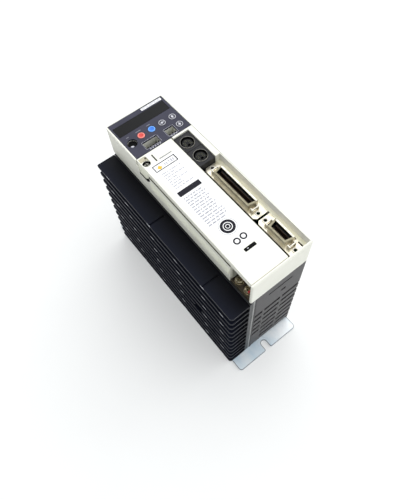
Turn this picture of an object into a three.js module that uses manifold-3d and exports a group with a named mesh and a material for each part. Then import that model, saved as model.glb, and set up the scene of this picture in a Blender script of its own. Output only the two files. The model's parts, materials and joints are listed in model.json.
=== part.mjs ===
// Book-style servo drive, lying on its back plate. Millimetres, +Z up, front panel facing +Z.
// +Y points to the display end, -Y to the terminal end, and the heat sink fins stand out towards -X.
// Inside the group, x is measured from the front panel's left edge, y from its terminal end and z
// from the back of the mounting plate. The group then centres the drive over its own footprint.

import * as THREE from 'three';
import { mergeVertices } from 'three/addons/utils/BufferGeometryUtils.js';
import Module from 'manifold-3d';

const wasm = await Module();
wasm.setup();

// ---- Driving dimensions ----

const FRONT_WIDTH = 46;
const BODY_LENGTH = 150;
const DEPTH = 130;
const FIN_REACH = 15;
const FLANGE = 10.5;
const GAP = 0.3;

const PLATE_THICK = 1.6;
const PLATE_LEFT = -12.5;
const PLATE_RIGHT = 44.5;
const NOTCH_X = 16;
const NOTCH_WIDTH = 5.2;
const NOTCH_DEPTH = 8.1;
const NOTCH_FLARE = 1.2;
const SEAT_RADIUS = 4.9;
const SEAT_DEPTH = 0.15;

const BODY_BACK = PLATE_THICK + GAP;
const FRONT_BACK = 106;
const BODY_TOP = FRONT_BACK - GAP;
const WALL = 2;
const THIN_WALL = 1.6;

const FIN_COUNT = 12;
const FIN_PITCH = 8.9;
const FIN_THICK = 2.4;
const SINK_FACE = 102.6;
const SINK_BASE = 2.4;
const SINK_CORNER = 2.2;
const SINK_FAR_CORNER = 1;
const SINK_BASE_INSET = 2;
const GROOVES = [27.8, 84.6];
const GROOVE_WIDTH = 1.7;
const GROOVE_DEPTH = 0.9;
const END_STEP = 8.6;
const END_STEP_DEPTH = 0.5;

const SPREADER_THICK = 2.4;
const SPREADER_STEP = 1.2;
const BRACKET_LEFT = 2.7;
const BRACKET_THICK = 1.5;
const CASING_LEFT = BRACKET_LEFT + BRACKET_THICK + GAP;

const LOUVRE_ROWS = 7;
const LOUVRE_PITCH = 9.7;
const LOUVRE_TOP = 71.6;
const LOUVRE_HEIGHT = 4.2;
const LOUVRE_RIB = 1.8;
const RIBS = [13, 29];
const SHORT_ROWS = 2;
const SIDE_VENTS = [
  [-1, 18],
  [22, 44],
  [BODY_LENGTH - 44, BODY_LENGTH - 22],
  [BODY_LENGTH - 18, BODY_LENGTH + 1],
];
const TOP_VENT = { x0: 15.5, x1: 35.2, z0: 95.4, z1: 97.4 };
const SMALL_VENT = { x0: 27, x1: 31, z0: 83.8, z1: 87.2 };
const BOTTOM_NOTCH_TOP = 4.4;

const PANEL_BOTTOM = 114.7;
const PANEL_THICK = 1.1;
const PANEL_SEAT = DEPTH - PANEL_THICK - 0.2;
const FRONT_SKIN = PANEL_SEAT - 2.2;
const DISPLAY_WALL = 114.5;

const BUTTON_RADIUS = 2.55;
const BUTTON_TRAVEL = 0.6;
const BUTTONS = [
  { name: 'mode_button', x: 14.6, y: 129, colour: 0xe0473f },
  { name: 'set_button', x: 23.1, y: 129, colour: 0x2f7fe6 },
  { name: 'shift_button', x: 31.6, y: 128.8, colour: 0x6a6a78 },
  { name: 'up_button', x: 40, y: 128.7, colour: 0x6a6a78 },
  { name: 'down_button', x: 40, y: 120.4, colour: 0x6a6a78 },
];
const ID_SWITCH = { x: 6.3, y: 127.2, radius: 3.6 };
const WINDOW = { x0: 2.3, x1: 43.5, y0: 136, y1: 145.3 };
const PIN_WELLS = [
  { name: 'monitor_pin_header', x0: 11, x1: 22.3, y0: 116.9, y1: 122.9, pins: 3 },
  { name: 'ground_pin_header', x0: 28.5, x1: 35.6, y0: 116.6, y1: 122.8, pins: 2 },
];
const BOARD_THICK = 1.6;
const PANEL_BOARD_TOP = 120.1;

const COVER = { x0: 0.7, x1: 28.15, y0: 2, y1: 114.2, thick: 2, skirt: 125.5 };
const COVER_TAB = { y0: 101.2, y1: 112, bottom: 119.4, corner: 3.6 };
const COVER_AXIS = { x: 24.4, z: 127.6 };
const HINGE_RADIUS = 0.7;
const BARREL_RADIUS = 1.6;
const BARREL_LENGTH = 6;
const SCREW = { x: 4, y: 107.7 };
const LAMP_SLOT = { x0: 12.6, x1: 19.2, y0: 19.6, y1: 21.6 };
const BAY_FLOOR = 108;
const BAY_WALL_TOP = 121.8;
const LEFT_WALL_TOP = 125.2;
const EARTH_OPENING = { x1: 8.3, y1: 19.4 };
const PARTITION = { x0: 26, x1: 28.7 };

const SERIAL = { x0: 29.1, x1: 41.2, y0: 84.2, y1: 112.6, top: 129, x: 34.9 };
const DIN_CENTRES = [105.2, 91.3];
const DIN_RADIUS = 4.95;
const FLANGE_TOP = 124;
const FLANGE_X0 = 31.8;
const FLANGE_X1 = 42.6;
const SOCKET_X = 36.6;
const SOCKET_OPENING = 4.9;
const SOCKET_WALL = 1.2;
const SOCKET_TOP = 129;
const SOCKETS = [
  { name: 'io_connector', y0: 34.3, y1: 83.8, opening: 32.8, hole: 22.3 },
  { name: 'encoder_connector', y0: 1.9, y1: 32.7, opening: 14.4, hole: 13.1 },
];

const EARTH_SCREWS = [15.2, 6.6];
const EARTH_X = 4;
const EARTH_SEAT = 107.7;

// ---- Colours and finishes ----

function finish(color, roughness, metalness = 0) {
  return new THREE.MeshStandardMaterial({ color, roughness, metalness });
}

const BEIGE = finish(0xe9e7da, 0.5);
const BLACK_SINK = finish(0x20242e, 0.35, 0.6);
const ZINC = finish(0xc3d3de, 0.3, 0.9);
const ALUMINIUM = finish(0x9a9b9c, 0.45, 0.9);
const CASING_GREY = finish(0x5c5a5c, 0.6);
const SLATE = finish(0x464655, 0.45);
const SMOKE = finish(0x16181a, 0.1);
const BLACK_PLASTIC = finish(0x1c1c1e, 0.5);
const NICKEL = finish(0xd8d2b8, 0.3, 0.9);
const STEEL = finish(0xb9b6ae, 0.3, 0.9);
const BOARD_GREEN = finish(0x1f5a3a, 0.5);
const PALE_PLASTIC = finish(0xd9d7cc, 0.5);
const CAN_BLUE = finish(0x2a3050, 0.4);
const COPPER_BROWN = finish(0x8a5a34, 0.5);

// ---- Geometry helpers ----

function box(x0, x1, y0, y1, z0, z1) {
  const geometry = new THREE.BoxGeometry(x1 - x0, y1 - y0, z1 - z0);
  return geometry.translate((x0 + x1) / 2, (y0 + y1) / 2, (z0 + z1) / 2);
}

// A round bar along Z.
function rod(x, y, z0, z1, radius, sides = 16) {
  const geometry = new THREE.CylinderGeometry(radius, radius, z1 - z0, sides);
  return geometry.rotateX(Math.PI / 2).translate(x, y, (z0 + z1) / 2);
}

// A round bar along Y.
function rodAlongY(x, z, y0, y1, radius, sides = 12) {
  const geometry = new THREE.CylinderGeometry(radius, radius, y1 - y0, sides);
  return geometry.translate(x, (y0 + y1) / 2, z);
}

// A round bar along X.
function rodAlongX(y, z, x0, x1, radius, sides = 16) {
  const geometry = new THREE.CylinderGeometry(radius, radius, x1 - x0, sides);
  return geometry.rotateZ(Math.PI / 2).translate((x0 + x1) / 2, y, z);
}

// A flat outline in the XY plane, raised from z0 to z1.
function slab(outline, z0, z1, curveSegments = 4) {
  const settings = { depth: z1 - z0, bevelEnabled: false, curveSegments };
  return new THREE.ExtrudeGeometry(outline, settings).translate(0, 0, z0);
}

// A flat outline of [y, z] points, thickened from x0 to x1.
function sideSlab(points, x0, x1) {
  const outline = new THREE.Shape(points.map(([y, z]) => new THREE.Vector2(y, z)));
  const geometry = new THREE.ExtrudeGeometry(outline, { depth: x1 - x0, bevelEnabled: false });
  const upright = new THREE.Matrix4().set(0, 0, 1, x0, 1, 0, 0, 0, 0, 1, 0, 0, 0, 0, 0, 1);
  return geometry.applyMatrix4(upright);
}

function roundedRectangle(x0, x1, y0, y1, radius) {
  const outline = new THREE.Shape();
  outline.absarc(x1 - radius, y0 + radius, radius, -Math.PI / 2, 0);
  outline.absarc(x1 - radius, y1 - radius, radius, 0, Math.PI / 2);
  outline.absarc(x0 + radius, y1 - radius, radius, Math.PI / 2, Math.PI);
  outline.absarc(x0 + radius, y0 + radius, radius, Math.PI, 1.5 * Math.PI);
  outline.closePath();
  return outline;
}

function toSolid(geometry) {
  const bare = geometry.clone();
  bare.deleteAttribute('normal');
  bare.deleteAttribute('uv');
  const merged = mergeVertices(bare, 1e-4);
  return new wasm.Manifold(new wasm.Mesh({
    numProp: 3,
    vertProperties: new Float32Array(merged.attributes.position.array),
    triVerts: new Uint32Array(merged.index.array),
  }));
}

function toGeometry(solid) {
  const mesh = solid.getMesh();
  const geometry = new THREE.BufferGeometry();
  geometry.setAttribute('position', new THREE.BufferAttribute(mesh.vertProperties, 3));
  geometry.setIndex(new THREE.BufferAttribute(mesh.triVerts, 1));
  geometry.computeVertexNormals();
  return geometry;
}

function join(...geometries) {
  const solids = geometries.map(toSolid);
  return toGeometry(solids.reduce((whole, part) => whole.add(part)));
}

function cut(geometry, ...tools) {
  const solids = tools.map(toSolid);
  return toGeometry(solids.reduce((whole, tool) => whole.subtract(tool), toSolid(geometry)));
}

const drive = new THREE.Group();
drive.position.set(-NOTCH_X, -BODY_LENGTH / 2, 0);

function addPiece(name, geometry, material) {
  const piece = new THREE.Mesh(geometry, material);
  piece.name = name;
  drive.add(piece);
}

// ---- Back plate and metal frame ----

// An open fixing notch with a round bottom and rounded lips, cut in from the plate's edge at y.
// inward is 1 for the terminal end and -1 for the display end.
function notchTool(edge, inward) {
  const half = NOTCH_WIDTH / 2;
  const shape = new THREE.Shape();
  shape.moveTo(-half - NOTCH_FLARE, -1);
  shape.absarc(-half - NOTCH_FLARE, NOTCH_FLARE, NOTCH_FLARE, -Math.PI / 2, 0);
  shape.absarc(0, NOTCH_DEPTH - half, half, Math.PI, 0, true);
  shape.absarc(half + NOTCH_FLARE, NOTCH_FLARE, NOTCH_FLARE, Math.PI, 1.5 * Math.PI);
  shape.lineTo(half + NOTCH_FLARE, -1);
  shape.closePath();
  const tool = slab(shape, -1, PLATE_THICK + 1);
  if (inward < 0) tool.rotateZ(Math.PI);
  return tool.translate(NOTCH_X, edge, 0);
}

// Each notch has a shallow pressed seat round its closed end for the washer of the fixing screw.
function mountingPlate() {
  const low = -FLANGE;
  const high = BODY_LENGTH + FLANGE;
  const inset = NOTCH_DEPTH - NOTCH_WIDTH / 2;
  const outline = roundedRectangle(PLATE_LEFT, PLATE_RIGHT, low, high, 2.5);
  const seats = [low + inset, high - inset].map((y) => (
    rod(NOTCH_X, y, PLATE_THICK - SEAT_DEPTH, PLATE_THICK + 1, SEAT_RADIUS, 32)));
  return cut(slab(outline, 0, PLATE_THICK), notchTool(low, 1), notchTool(high, -1), ...seats);
}

// Flat parallel fins on an upright base. The front fin has two cross grooves and a lowered end
// step, and two round wells reach through the fins to the fixing screws.
const SINK_WELLS = [{ y: 36.5, z: 48.5 }, { y: 18.7, z: 35 }];
const WELL_RADIUS = 4;
const SINK_ROOT = -GAP - SINK_BASE;
const SCREW_CLEARANCE = 1.8;

function heatSink() {
  const left = -FIN_REACH;
  const far = SINK_FAR_CORNER;
  const outline = new THREE.Shape();
  outline.absarc(left + far, BODY_LENGTH - far, far, Math.PI / 2, Math.PI);
  outline.absarc(left + SINK_CORNER, SINK_CORNER, SINK_CORNER, Math.PI, 1.5 * Math.PI);
  outline.lineTo(-GAP, 0);
  outline.lineTo(-GAP, BODY_LENGTH);
  outline.closePath();
  const root = [SINK_BASE_INSET, BODY_LENGTH - SINK_BASE_INSET];
  const layers = [box(SINK_ROOT, -GAP, ...root, BODY_BACK, SINK_FACE)];
  for (let level = 0; level < FIN_COUNT; level += 1) {
    const top = SINK_FACE - level * FIN_PITCH;
    layers.push(slab(outline, top - FIN_THICK, top));
  }
  const tools = [[BODY_LENGTH - END_STEP, BODY_LENGTH + 1, END_STEP_DEPTH, 0]];
  GROOVES.forEach((y) => (
    tools.push([y - GROOVE_WIDTH / 2, y + GROOVE_WIDTH / 2, GROOVE_DEPTH, SINK_ROOT])));
  const lowered = tools.map(([y0, y1, depth, right]) => (
    box(left - 1, right, y0, y1, SINK_FACE - depth, SINK_FACE + 1)));
  const wells = SINK_WELLS.flatMap(({ y, z }) => [
    rodAlongX(y, z, left - 1, SINK_ROOT, WELL_RADIUS),
    rodAlongX(y, z, SINK_ROOT - 1, 0, SCREW_CLEARANCE, 12),
  ]);
  return cut(join(...layers), ...lowered, ...wells);
}

// Pan head with a hexagon recess, resting on the root of the fins.
function heatsinkScrew({ y, z }) {
  const seat = SINK_ROOT - GAP;
  const head = rodAlongX(y, z, seat - 2, seat, 2.8);
  const shank = rodAlongX(y, z, seat - 0.5, -GAP - 0.1, 1.4, 12);
  const recess = rodAlongX(y, z, seat - 3, seat - 0.8, 1.3, 6);
  return cut(join(head, shank), recess);
}

// The plate the power parts bolt to. Its top edge is stepped back under the housing wall.
function heatSpreader() {
  const ends = [0.2, BODY_LENGTH - 0.2];
  return join(
    box(0, SPREADER_THICK, ...ends, BODY_BACK, SINK_FACE),
    box(SPREADER_STEP, SPREADER_THICK, ...ends, BODY_BACK, BODY_TOP),
  );
}

// An angle: an upright leg beside the heat spreader and a foot on the mounting plate.
function chassisBracket() {
  const right = BRACKET_LEFT + BRACKET_THICK;
  const leg = box(BRACKET_LEFT, right, 0.2, BODY_LENGTH - 0.2, BODY_BACK, BODY_TOP);
  const inset = WALL + 1;
  const foot = box(BRACKET_LEFT, 40, inset, BODY_LENGTH - inset, BODY_BACK, BODY_BACK + BRACKET_THICK);
  return join(leg, foot);
}

// ---- Rear casing ----

// The vent slots of one row: long slots parted by two ribs. The lowest rows have no slot next to
// the bracket.
function louvreRow(row, y0, y1) {
  const z = LOUVRE_TOP - row * LOUVRE_PITCH;
  const [left, right] = RIBS;
  const half = LOUVRE_RIB / 2;
  const slots = [[left + half, right - half], [right + half, FRONT_WIDTH + 1]];
  if (row < LOUVRE_ROWS - SHORT_ROWS) slots.push([CASING_LEFT + 0.9, left - half]);
  return slots.map(([x0, x1]) => box(x0, x1, y0, y1, z - LOUVRE_HEIGHT / 2, z + LOUVRE_HEIGHT / 2));
}

function rearCasing() {
  const outline = roundedRectangle(CASING_LEFT, FRONT_WIDTH, 0, BODY_LENGTH, 1);
  const shell = cut(
    slab(outline, BODY_BACK, BODY_TOP),
    box(CASING_LEFT - 1, FRONT_WIDTH - WALL, WALL, BODY_LENGTH - WALL, 0, DEPTH),
  );
  const ends = [[-1, WALL + 0.5], [BODY_LENGTH - WALL - 0.5, BODY_LENGTH + 1]];
  const tools = ends.flatMap(([y0, y1]) => [
    box(TOP_VENT.x0, TOP_VENT.x1, y0, y1, TOP_VENT.z0, TOP_VENT.z1),
    box(SMALL_VENT.x0, SMALL_VENT.x1, y0, y1, SMALL_VENT.z0, SMALL_VENT.z1),
    box(CASING_LEFT + 1.4, FRONT_WIDTH - WALL, y0, y1, 0, BOTTOM_NOTCH_TOP),
  ]);
  for (let row = 0; row < LOUVRE_ROWS; row += 1) {
    const low = LOUVRE_TOP - row * LOUVRE_PITCH - LOUVRE_HEIGHT / 2;
    ends.forEach(([y0, y1]) => tools.push(...louvreRow(row, y0, y1)));
    SIDE_VENTS.forEach(([y0, y1]) => tools.push(
      box(FRONT_WIDTH - WALL - 0.5, FRONT_WIDTH + 1, y0, y1, low, low + LOUVRE_HEIGHT)));
  }
  return cut(shell, ...tools);
}

// ---- Front housing ----

// The front wall around the controls, the terminal bay under the cover and the pocket for the
// sockets are hollows in one moulding, open towards the casing.
const BAY_END = DISPLAY_WALL - WALL;
const OPEN_TOP = DEPTH + 1;
const SERIAL_POCKET = { y0: 83, y1: 113 };
const SOCKET_POCKET_END = 84;
const LEDGE_X = 43;
const OUTER_SKIN_X = 45;
const BOARD_CHANNEL = { x1: 43.2, top: 118.2 };
const SWING_RELIEF = 0.6;
const LIP_BEVEL = 0.8;
const TAB_GAP = 1.2;
const TAB_SIDE_GAP = 0.4;

// The finger tab's outline in the YZ plane, cut off at its lower corner and grown by gap below
// and on the terminal side, and by side on the display side.
function tabOutline(gap, side, top) {
  const { y0, y1, bottom, corner } = COVER_TAB;
  return [[y1 + side, top], [y0 - gap, top], [y0 - gap, bottom - gap + corner],
    [y0 - gap + corner, bottom - gap], [y1 + side, bottom - gap]].reverse();
}

function housingHollows() {
  const { x0, x1 } = PARTITION;
  const panelEnd = BODY_LENGTH - WALL;
  return [
    box(WALL, FRONT_WIDTH - WALL, DISPLAY_WALL + THIN_WALL, panelEnd, 0, FRONT_SKIN),
    box(1, FRONT_WIDTH - 0.6, PANEL_BOTTOM - 0.2, BODY_LENGTH - 0.4, PANEL_SEAT, OPEN_TOP),
    box(WALL - 0.5, x1 + SWING_RELIEF, THIN_WALL, DISPLAY_WALL, BAY_WALL_TOP, OPEN_TOP),
    box(-1, WALL, THIN_WALL, DISPLAY_WALL, LEFT_WALL_TOP, OPEN_TOP),
    box(WALL, x0, THIN_WALL, BAY_END, BAY_FLOOR, OPEN_TOP),
    box(-1, EARTH_OPENING.x1, THIN_WALL, EARTH_OPENING.y1, FRONT_BACK - 1, OPEN_TOP),
    sideSlab(tabOutline(TAB_GAP, TAB_SIDE_GAP, OPEN_TOP), -1, WALL),
    box(x1, SERIAL.x1 + GAP, SERIAL_POCKET.y0, SERIAL_POCKET.y1, 0, OPEN_TOP),
    box(x1, LEDGE_X, THIN_WALL, SOCKET_POCKET_END, 0, OPEN_TOP),
    box(x1, OUTER_SKIN_X, THIN_WALL, SOCKET_POCKET_END, FLANGE_TOP, OPEN_TOP),
    box(x1, BOARD_CHANNEL.x1, THIN_WALL, panelEnd, 0, BOARD_CHANNEL.top),
  ];
}

function frontHousing() {
  const outline = roundedRectangle(0, FRONT_WIDTH, 0, BODY_LENGTH, 1);
  const shell = cut(slab(outline, FRONT_BACK, DEPTH), ...housingHollows());
  const wells = PIN_WELLS.map(({ x0, x1, y0, y1 }) => (
    box(x0 - 1, x1 + 1, y0 - 1, y1 + 1, PANEL_BOARD_TOP + 0.5, FRONT_SKIN + 0.5)));
  const post = rod(SCREW.x, SCREW.y, BAY_FLOOR - 0.5, COVER_TAB.bottom - 0.8, 3.4);
  const bevel = new THREE.CylinderGeometry(LIP_BEVEL, LIP_BEVEL, FRONT_WIDTH + 2, 4, 1);
  bevel.rotateZ(Math.PI / 2).translate(FRONT_WIDTH / 2, 0, DEPTH);
  const { x: hingeX, z: hingeZ } = COVER_AXIS;
  const pinHole = HINGE_RADIUS + 0.2;
  const holes = [
    ...BUTTONS.map(({ x, y }) => rod(x, y, FRONT_SKIN - 1, DEPTH, BUTTON_RADIUS + 0.35)),
    rod(ID_SWITCH.x, ID_SWITCH.y, FRONT_SKIN - 1, DEPTH, ID_SWITCH.radius + 0.2),
    box(WINDOW.x0 + 1.5, WINDOW.x1 - 1.5, WINDOW.y0 + 1, WINDOW.y1 - 1, FRONT_SKIN - 1, DEPTH),
    ...PIN_WELLS.map(({ x0, x1, y0, y1 }) => box(x0, x1, y0, y1, 110, DEPTH)),
    rod(SCREW.x, SCREW.y, 116, DEPTH, 2.3, 12),
    rodAlongY(hingeX, hingeZ, DISPLAY_WALL - 1, DISPLAY_WALL + 1.9, pinHole),
    rodAlongY(hingeX, hingeZ, 0.5, THIN_WALL + 0.4, pinHole),
    bevel,
  ];
  return cut(join(shell, ...wells, post), ...holes);
}

// ---- Display section ----

function displayPanel() {
  const outline = roundedRectangle(1.2, FRONT_WIDTH - 0.8, PANEL_BOTTOM, BODY_LENGTH - 0.6, 0.6);
  return cut(
    slab(outline, DEPTH - PANEL_THICK, DEPTH),
    ...BUTTONS.map(({ x, y }) => rod(x, y, 120, DEPTH + 1, BUTTON_RADIUS + 0.2)),
    rod(ID_SWITCH.x, ID_SWITCH.y, 120, DEPTH + 1, ID_SWITCH.radius),
    box(WINDOW.x0, WINDOW.x1, WINDOW.y0, WINDOW.y1, 120, DEPTH + 1),
    ...PIN_WELLS.map(({ x0, x1, y0, y1 }) => box(x0, x1, y0, y1, 120, DEPTH + 1)),
  );
}

function displayWindow() {
  const edge = 0.2;
  const { x0, x1, y0, y1 } = WINDOW;
  const outline = roundedRectangle(x0 + edge, x1 - edge, y0 + edge, y1 - edge, 0.4);
  return slab(outline, DEPTH - PANEL_THICK, DEPTH, 2);
}

// Round cap with a wider collar below the front wall, so that it can't fall out.
const COLLAR_TOP = FRONT_SKIN - GAP;
const COLLAR_BOTTOM = COLLAR_TOP - 0.8;

function buttonCap({ x, y }) {
  const cap = rod(x, y, COLLAR_BOTTOM, DEPTH + 0.2, BUTTON_RADIUS);
  return join(cap, rod(x, y, COLLAR_BOTTOM, COLLAR_TOP, 3.3));
}

function tactSwitch({ x, y }) {
  const plungerTop = COLLAR_BOTTOM - BUTTON_TRAVEL - 0.15;
  const base = box(x - 3, x + 3, y - 3, y + 3, PANEL_BOARD_TOP + GAP, plungerTop - 0.8);
  return join(base, rod(x, y, plungerTop - 1, plungerTop, 1.5, 12));
}

const ROTOR_TOP = 125.7;

function idSwitchBody() {
  const { x, y } = ID_SWITCH;
  const body = box(x - 3.9, x + 3.4, y - 3.9, y + 4.2, PANEL_BOARD_TOP + GAP, ROTOR_TOP - 0.6);
  return cut(body, rod(x, y, ROTOR_TOP - 2.2, ROTOR_TOP, 3.2));
}

function idSwitchRotor() {
  const { x, y } = ID_SWITCH;
  const disc = rod(x, y, ROTOR_TOP - 1.9, ROTOR_TOP, 2.9);
  return cut(disc, box(x - 0.5, x + 0.5, y - 3.2, y + 1.6, ROTOR_TOP - 0.8, ROTOR_TOP + 1));
}

// Square test pins standing in a row on one moulded carrier.
function pinHeader({ x0, x1, y0, pins }) {
  const y = y0 + 1.4;
  const pitch = (x1 - x0 - 2.6) / (pins - 1);
  const carrier = box(x0 + 0.4, x1 - 0.4, y - 1, y + 1.6, PANEL_BOARD_TOP + GAP, 122.4);
  const posts = [];
  for (let pin = 0; pin < pins; pin += 1) {
    const x = x0 + 1.3 + pin * pitch;
    posts.push(box(x - 0.4, x + 0.4, y - 0.4, y + 0.4, 122, DEPTH - 1.2));
  }
  return join(carrier, ...posts);
}

function ledDisplay() {
  const { x0, x1, y0, y1 } = WINDOW;
  return box(x0 + 1.7, x1 - 1.7, y0 + 1.2, y1 - 1.2, PANEL_BOARD_TOP + GAP, FRONT_SKIN - GAP);
}

function panelBoard() {
  const x0 = WALL + 0.5;
  const x1 = FRONT_WIDTH - WALL - 0.5;
  const y0 = DISPLAY_WALL + THIN_WALL + GAP;
  return box(x0, x1, y0, BODY_LENGTH - WALL - GAP, PANEL_BOARD_TOP - BOARD_THICK, PANEL_BOARD_TOP);
}

// ---- Terminal cover and its hinge ----

const SLIT = 0.5;
const SCREW_BOSS_RADIUS = 3.3;
const SCREW_RECESS_RADIUS = 2.85;
const CORNER_POCKET = [[1.2, 107.7], [6.8, 107.7], [6.8, 112.1], [6.1, 113.3], [1.2, 113.3]];
const POCKET_DEPTH = 1.1;

function hingeBarrel(low, high) {
  const { x, z } = COVER_AXIS;
  return join(
    rodAlongY(x, z, low, high, BARREL_RADIUS),
    box(x - BARREL_RADIUS, x + BARREL_RADIUS, low, high, z, DEPTH - 1),
  );
}

// Flat lid with a skirt and a finger tab along its left edge, a recess for the screw, a slot for
// the lamp, two moulded lines that make a corner, and a hinge barrel at each end.
function terminalCover() {
  const { x0, x1, y0, y1, thick, skirt } = COVER;
  const inner = DEPTH - 0.5;
  const outline = roundedRectangle(x0, x1, y0, y1, 0.6);
  const body = join(
    slab(outline, DEPTH - thick, DEPTH, 3),
    box(x0, x0 + 1.6, y0 + 0.6, y1 - 0.6, skirt, inner),
    sideSlab(tabOutline(0, 0, inner), x0, x0 + 1.4),
    hingeBarrel(y0, y0 + BARREL_LENGTH),
    hingeBarrel(y1 - BARREL_LENGTH, y1),
    rod(SCREW.x, SCREW.y, 123, inner, SCREW_BOSS_RADIUS),
  );
  const bore = HINGE_RADIUS + 0.15;
  const lineBottom = DEPTH - 1.2;
  return cut(
    body,
    rod(SCREW.x, SCREW.y, 124.6, OPEN_TOP, SCREW_RECESS_RADIUS),
    slab(new THREE.Shape(CORNER_POCKET.map(([x, y]) => new THREE.Vector2(x, y))),
      DEPTH - POCKET_DEPTH, OPEN_TOP),
    rod(SCREW.x, SCREW.y, 120, 126, 1.5, 12),
    box(LAMP_SLOT.x0, LAMP_SLOT.x1, LAMP_SLOT.y0, LAMP_SLOT.y1, 120, OPEN_TOP),
    box(10.1, 10.1 + SLIT, 105.4, 111.2, lineBottom, OPEN_TOP),
    box(12.9, 22.2, 105.2, 105.2 + SLIT, lineBottom, OPEN_TOP),
    rodAlongY(COVER_AXIS.x, COVER_AXIS.z, y0 - 1, y0 + BARREL_LENGTH - 1, bore),
    rodAlongY(COVER_AXIS.x, COVER_AXIS.z, y1 - BARREL_LENGTH + 1, y1 + 1, bore),
  );
}

function hingePin(low, high) {
  return rodAlongY(COVER_AXIS.x, COVER_AXIS.z, low, high, HINGE_RADIUS);
}

function coverScrew() {
  const { x, y } = SCREW;
  const head = rod(x, y, 124.9, 127.1, 2.4);
  const shank = rod(x, y, 117.4, 125, 1.2, 12);
  const cross = [
    box(x - 1.5, x + 1.5, y - 0.3, y + 0.3, 126, 128),
    box(x - 0.3, x + 0.3, y - 1.5, y + 1.5, 126, 128),
  ];
  return cut(join(head, shank), ...cross);
}

// ---- Terminals and earth ----

const TERMINAL_TOP = 118.6;

// A row of wire terminals: each way has a square wire entry and a release slot beside it.
function terminalBlock(y0, y1, ways) {
  const body = box(8.6, 23, y0, y1, BAY_FLOOR + GAP, TERMINAL_TOP);
  const pitch = (y1 - y0) / ways;
  const tools = [];
  for (let way = 0; way < ways; way += 1) {
    const y = y0 + pitch * (way + 0.5);
    tools.push(box(10, 13.4, y - 1.7, y + 1.7, TERMINAL_TOP - 6, TERMINAL_TOP + 1));
    tools.push(box(16, 20.6, y - 1.1, y + 1.1, TERMINAL_TOP - 3, TERMINAL_TOP + 1));
  }
  return cut(body, ...tools);
}

// A flat bar across the corner opening, with a low lip along its outer edge.
function earthBar() {
  const y0 = THIN_WALL + GAP;
  const y1 = EARTH_OPENING.y1 - GAP;
  const bar = box(0.1, EARTH_OPENING.x1 - GAP, y0, y1, EARTH_SEAT - 1.4, EARTH_SEAT);
  const lip = box(0.1, 0.8, y0, y1, EARTH_SEAT - 1, EARTH_SEAT + 1.1);
  return cut(join(bar, lip), ...EARTH_SCREWS.map((y) => rod(EARTH_X, y, 100, 120, 2, 12)));
}

function earthScrew(y) {
  const seat = EARTH_SEAT + GAP;
  const washer = rod(EARTH_X, y, seat, seat + 0.6, 3.1);
  const head = rod(EARTH_X, y, seat + 0.5, seat + 2.8, 2.8);
  const shank = rod(EARTH_X, y, FRONT_BACK, seat + 0.1, 1.7, 12);
  const cross = [
    box(EARTH_X - 1.9, EARTH_X + 1.9, y - 0.4, y + 0.4, seat + 1.8, seat + 4),
    box(EARTH_X - 0.4, EARTH_X + 0.4, y - 1.9, y + 1.9, seat + 1.8, seat + 4),
  ];
  return cut(join(washer, head, shank), ...cross);
}

function chargeLamp() {
  const { x0, x1, y0, y1 } = LAMP_SLOT;
  const middle = (x0 + x1) / 2;
  const lens = box(x0 + 0.4, x1 - 0.4, y0 + 0.3, y1 - 0.3, 121, DEPTH - 2.6);
  return join(lens, box(middle - 1.2, middle + 1.2, y0 + 0.3, y1 - 0.3, BAY_FLOOR + GAP, 121.5));
}

// ---- Round serial sockets ----

function serialPortBlock() {
  const { x0, x1, y0, y1, top, x } = SERIAL;
  return cut(
    box(x0, x1, y0, y1, 116, top),
    ...DIN_CENTRES.map((y) => rod(x, y, 119, top + 1, DIN_RADIUS + 0.25, 24)),
  );
}

function dinShield(y) {
  const tube = rod(SERIAL.x, y, 119.3, SERIAL.top + 0.3, DIN_RADIUS, 24);
  return cut(tube, rod(SERIAL.x, y, 119.9, DEPTH + 1, DIN_RADIUS - 0.5, 24));
}

// Insulating core with a keyway and a row of contact holes.
function dinCore(y) {
  const x = SERIAL.x;
  const tools = [box(x - 0.9, x + 0.9, y - 4, y - 2.2, 121, DEPTH)];
  for (const offset of [-1.6, 0, 1.6]) tools.push(rod(x + offset, y + 0.9, 125, DEPTH, 0.45, 6));
  return cut(rod(x, y, 120.2, SERIAL.top - 0.8, 3.3, 20), ...tools);
}

// ---- Wide board connectors ----

// Slightly tapered ring outline of a D-shaped socket, grown by margin on every side.
function socketOutline(length, margin) {
  const half = length / 2 + margin;
  const wide = SOCKET_OPENING / 2 + margin;
  const taper = 1.1;
  const shape = new THREE.Shape();
  shape.moveTo(-wide, -half + taper);
  shape.lineTo(wide, -half);
  shape.lineTo(wide, half);
  shape.lineTo(-wide, half - taper);
  shape.closePath();
  return shape;
}

function flangeOutline(y0, y1) {
  const chamfer = 1.6;
  const shape = new THREE.Shape();
  shape.moveTo(FLANGE_X0 + chamfer, y0);
  shape.lineTo(FLANGE_X1, y0);
  shape.lineTo(FLANGE_X1, y1);
  shape.lineTo(FLANGE_X0 + chamfer, y1);
  shape.lineTo(FLANGE_X0, y1 - chamfer);
  shape.lineTo(FLANGE_X0, y0 + chamfer);
  shape.closePath();
  return shape;
}

const FLANGE_BACK = FLANGE_TOP - 1;
const FLANGE_HOLE_RADIUS = 1.25;

function connectorShell({ y0, y1, opening, hole }) {
  const y = (y0 + y1) / 2;
  const ring = slab(socketOutline(opening, SOCKET_WALL), FLANGE_BACK, SOCKET_TOP);
  const mouth = slab(socketOutline(opening, 0), FLANGE_BACK - 1, SOCKET_TOP + 1);
  return cut(
    join(slab(flangeOutline(y0, y1), FLANGE_BACK, FLANGE_TOP), ring.translate(SOCKET_X, y, 0)),
    mouth.translate(SOCKET_X, y, 0),
    rod(SOCKET_X, y - hole, 120, 126, FLANGE_HOLE_RADIUS, 12),
    rod(SOCKET_X, y + hole, 120, 126, FLANGE_HOLE_RADIUS, 12),
  );
}

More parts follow.
